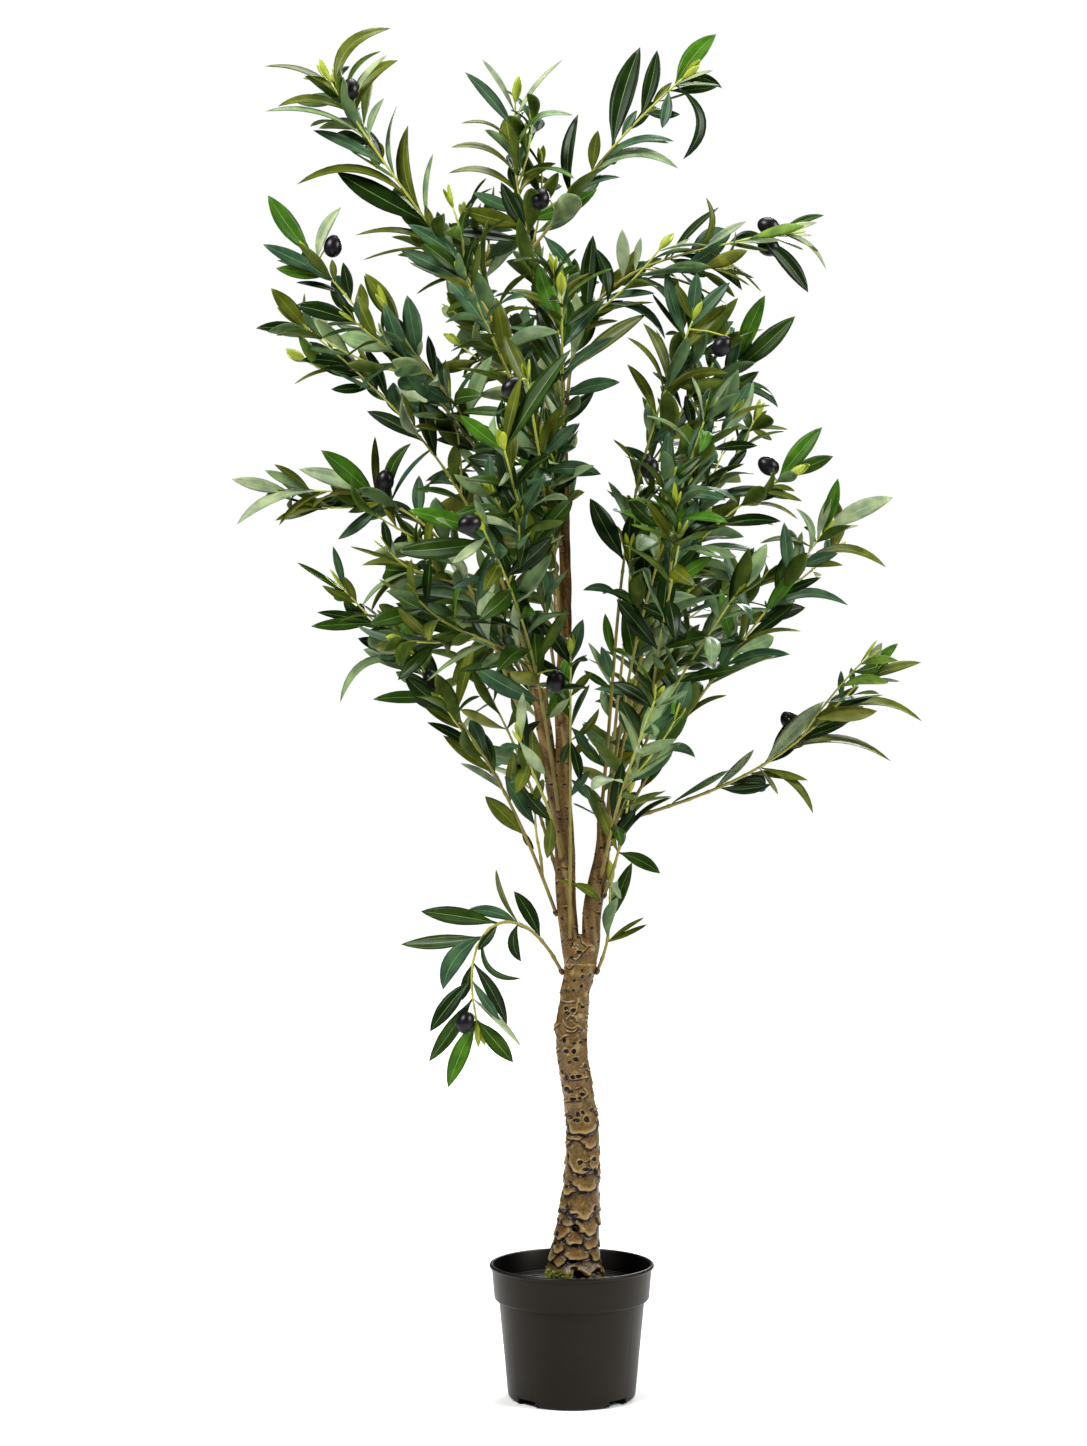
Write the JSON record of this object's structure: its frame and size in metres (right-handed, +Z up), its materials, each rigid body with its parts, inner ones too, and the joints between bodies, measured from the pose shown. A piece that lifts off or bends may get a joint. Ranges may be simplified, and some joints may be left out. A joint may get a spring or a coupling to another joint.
{
  "type": "artificial olive tree in a nursery pot",
  "caption": "Tall slim artificial olive tree: a forked bark trunk in a round nursery pot, with loose rising sprays of narrow leaves and dark olives.",
  "frame": {"origin": "middle of the pot's flat underside", "axes": "+Z up the tree, +X to the right as seen from the front, +Y to the back"},
  "size_m": [0.7535, 0.6953, 1.4983],
  "materials": {
    "pot": "satin dark grey",
    "fill": "matte black",
    "bark": "glossy cast bark, khaki brown",
    "foliage": "semi-gloss printed leaves in several greens, with dark olives"
  },
  "bodies": {
    "root": {"pot": "pot", "fill": "fill", "trunk": "bark", "left_bough": "bark", "right_bough": "bark", "cut_bough": "bark", "spray_low_left": "foliage", "spray_low_right": "foliage", "spray_left_1": "foliage", "spray_left_2": "foliage", "spray_left_3": "foliage", "spray_left_4": "foliage", "spray_top_left": "foliage", "spray_top": "foliage", "spray_right_top": "foliage", "spray_right_1": "foliage", "spray_right_2": "foliage", "spray_right_3": "foliage", "spray_right_4": "foliage", "spray_right_sprout": "foliage", "spray_front_1": "foliage", "spray_front_2": "foliage", "spray_front_3": "foliage", "spray_front_4": "foliage", "spray_front_5": "foliage", "spray_front_6": "foliage", "spray_front_7": "foliage", "spray_front_8": "foliage", "spray_front_9": "foliage", "spray_front_10": "foliage", "spray_back_1": "foliage", "spray_back_2": "foliage", "spray_back_3": "foliage", "spray_back_4": "foliage", "spray_back_5": "foliage", "spray_back_6": "foliage", "spray_back_7": "foliage", "spray_back_8": "foliage", "spray_back_9": "foliage"}
  },
  "joints": []
}
